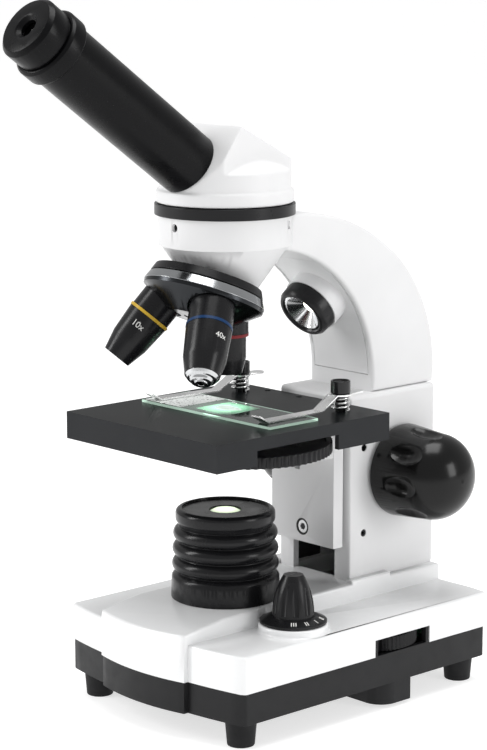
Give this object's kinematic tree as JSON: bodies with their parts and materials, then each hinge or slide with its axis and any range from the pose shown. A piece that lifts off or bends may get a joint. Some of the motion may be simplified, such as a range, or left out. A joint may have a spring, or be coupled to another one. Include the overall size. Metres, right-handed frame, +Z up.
{
  "type": "microscope",
  "caption": "Monocular compound microscope on a boxed base, with curved arm, turning nosepiece, inclined eyepiece, lit stage with spring clips, and rack focus.",
  "frame": {"origin": "on the optical axis at table level, which is also the centre of the footprint", "axes": "+Z up along the optical axis, +Y towards the arm, -Y towards the viewer's eyepiece, +X the side with the selector and the lamp wheel"},
  "size_m": [0.1132, 0.2054, 0.2846],
  "materials": {
    "gloss_white": "smooth glossy white",
    "satin_black": "fine satin grain",
    "foot_rubber": "matt",
    "dark_screw": "black oxide",
    "battery_skin": "printed sleeve, plain",
    "contact_spring": "plated",
    "board": "lacquered board",
    "switch_plastic": "moulded",
    "control_black": "satin",
    "ribbed_black": "satin, ribbed",
    "lamp_lens": "frosted, lit from below",
    "led": "domed resin",
    "cast_white": "fine textured white paint",
    "rail_grey": "dark guide",
    "ring_black": "satin black",
    "reflector": "polished cone",
    "bush_brass": "turned",
    "plain_steel": "ground",
    "knob_black": "glossy",
    "stage_black": "matt black, grey sheen",
    "bright_screw": "plated",
    "slide_glass": "polished",
    "label_paper": "frosted writing patch",
    "wheel_black": "satin, ribbed edge",
    "filter_colours": "tinted discs",
    "post_black": "black caps",
    "clip_steel": "polished spring steel",
    "turret_chrome": "polished",
    "turret_grey": "turned",
    "objective_black": "gloss black",
    "tip_chrome": "polished",
    "ring_red": "enamel",
    "ring_yellow": "enamel",
    "ring_blue": "enamel",
    "prism_glass": "polished",
    "tube_black": "satin black",
    "lens_glass": "coated"
  },
  "bodies": {
    "stand": {"base_cover": "gloss_white", "base_tray": "satin_black", "rubber_feet": "foot_rubber", "base_screws": "dark_screw", "battery_cells": "battery_skin", "battery_contacts": "contact_spring", "circuit_board": "board", "dimmer_control": "switch_plastic", "selector_switch": "switch_plastic", "illuminator_housing": "ribbed_black", "illuminator_lens": "lamp_lens", "led_emitters": "led", "column_block": "cast_white", "guide_rails": "rail_grey", "guide_screws": "dark_screw", "arm": "cast_white", "arm_cover": "cast_white", "head_ring": "ring_black", "head_screws": "dark_screw", "lamp_bezel": "ring_black", "lamp_reflector": "reflector", "shaft_bushes": "bush_brass", "nosepiece_mount": "ring_black", "nosepiece_pivot": "plain_steel"},
    "battery_cover": {"battery_cover": "satin_black"},
    "dimmer": {"dimmer_wheel": "control_black"},
    "selector": {"selector_knob": "control_black"},
    "focus": {"pinion_shaft": "plain_steel", "pinion_gear": "bush_brass", "right_focus_knob": "knob_black", "left_focus_knob": "knob_black"},
    "stage": {"stage_plate": "stage_black", "stage_bracket": "cast_white", "focus_slider": "plain_steel", "focus_rack": "bush_brass", "bracket_screw": "bright_screw", "specimen_slide": "slide_glass", "slide_label": "label_paper", "cover_slip": "slide_glass", "wheel_axle": "plain_steel", "clip_posts": "post_black", "clip_springs": "clip_steel"},
    "filter_wheel": {"filter_wheel": "wheel_black", "colour_filters": "filter_colours"},
    "right_clip": {"right_clip": "clip_steel"},
    "left_clip": {"left_clip": "clip_steel"},
    "nosepiece": {"nosepiece_band": "turret_chrome", "nosepiece_body": "turret_grey", "objective_4x": "objective_black", "objective_10x": "objective_black", "objective_40x": "objective_black", "objective_tip": "tip_chrome", "red_ring": "ring_red", "yellow_ring": "ring_yellow", "blue_ring": "ring_blue"},
    "head": {"head_housing": "cast_white", "head_prism": "prism_glass", "ocular_tube": "tube_black"},
    "eyepiece": {"eyepiece_body": "tube_black", "eyepiece_lenses": "lens_glass"}
  },
  "joints": [
    {"name": "stage_focus", "type": "slide", "parent": "stand", "child": "stage", "axis": [0, 0, 1], "range_m": [-0.014, 0.001]},
    {"name": "focus_knobs", "type": "hinge", "parent": "stand", "child": "focus", "pos_m": [0, 0.079, 0.0886], "axis": [1, 0, 0], "range_deg": [-15, 200]},
    {"name": "nosepiece_turn", "type": "hinge", "parent": "stand", "child": "nosepiece", "pos_m": [0, 0, 0.1965], "axis": [-0.0306, 0.3976, 0.9171], "continuous": true},
    {"name": "head_turn", "type": "hinge", "parent": "stand", "child": "head", "pos_m": [0, 0, 0.2], "axis": [0, 0, 1], "continuous": true},
    {"name": "eyepiece_pull", "type": "slide", "parent": "head", "child": "eyepiece", "axis": [0, -0.8161, 0.5779], "range_m": [0, 0.022]},
    {"name": "filter_turn", "type": "hinge", "parent": "stage", "child": "filter_wheel", "pos_m": [0.0125, -0.002, 0.109], "axis": [0, 0, 1], "continuous": true},
    {"name": "right_clip_swing", "type": "hinge", "parent": "stage", "child": "right_clip", "pos_m": [0.0295, 0.0354, 0.127], "axis": [0, 0, 1], "range_deg": [-20, 12]},
    {"name": "left_clip_swing", "type": "hinge", "parent": "stage", "child": "left_clip", "pos_m": [-0.0295, 0.0354, 0.127], "axis": [0, 0, 1], "range_deg": [-12, 20]},
    {"name": "lamp_select", "type": "hinge", "parent": "stand", "child": "selector", "pos_m": [0.0368, 0.0026, 0.045], "axis": [0, 0, 1], "range_deg": [-90, 0]},
    {"name": "dimmer_turn", "type": "hinge", "parent": "stand", "child": "dimmer", "pos_m": [0.0314, 0.0493, 0.027], "axis": [0, 0, 1], "range_deg": [-135, 135]},
    {"name": "battery_cover_slide", "type": "slide", "parent": "stand", "child": "battery_cover", "axis": [0, 1, 0], "range_m": [0, 0.014]}
  ],
  "couplings": [
    {"joint": "focus_knobs", "follows": "stage_focus", "rad_per_m": -238.1}
  ]
}
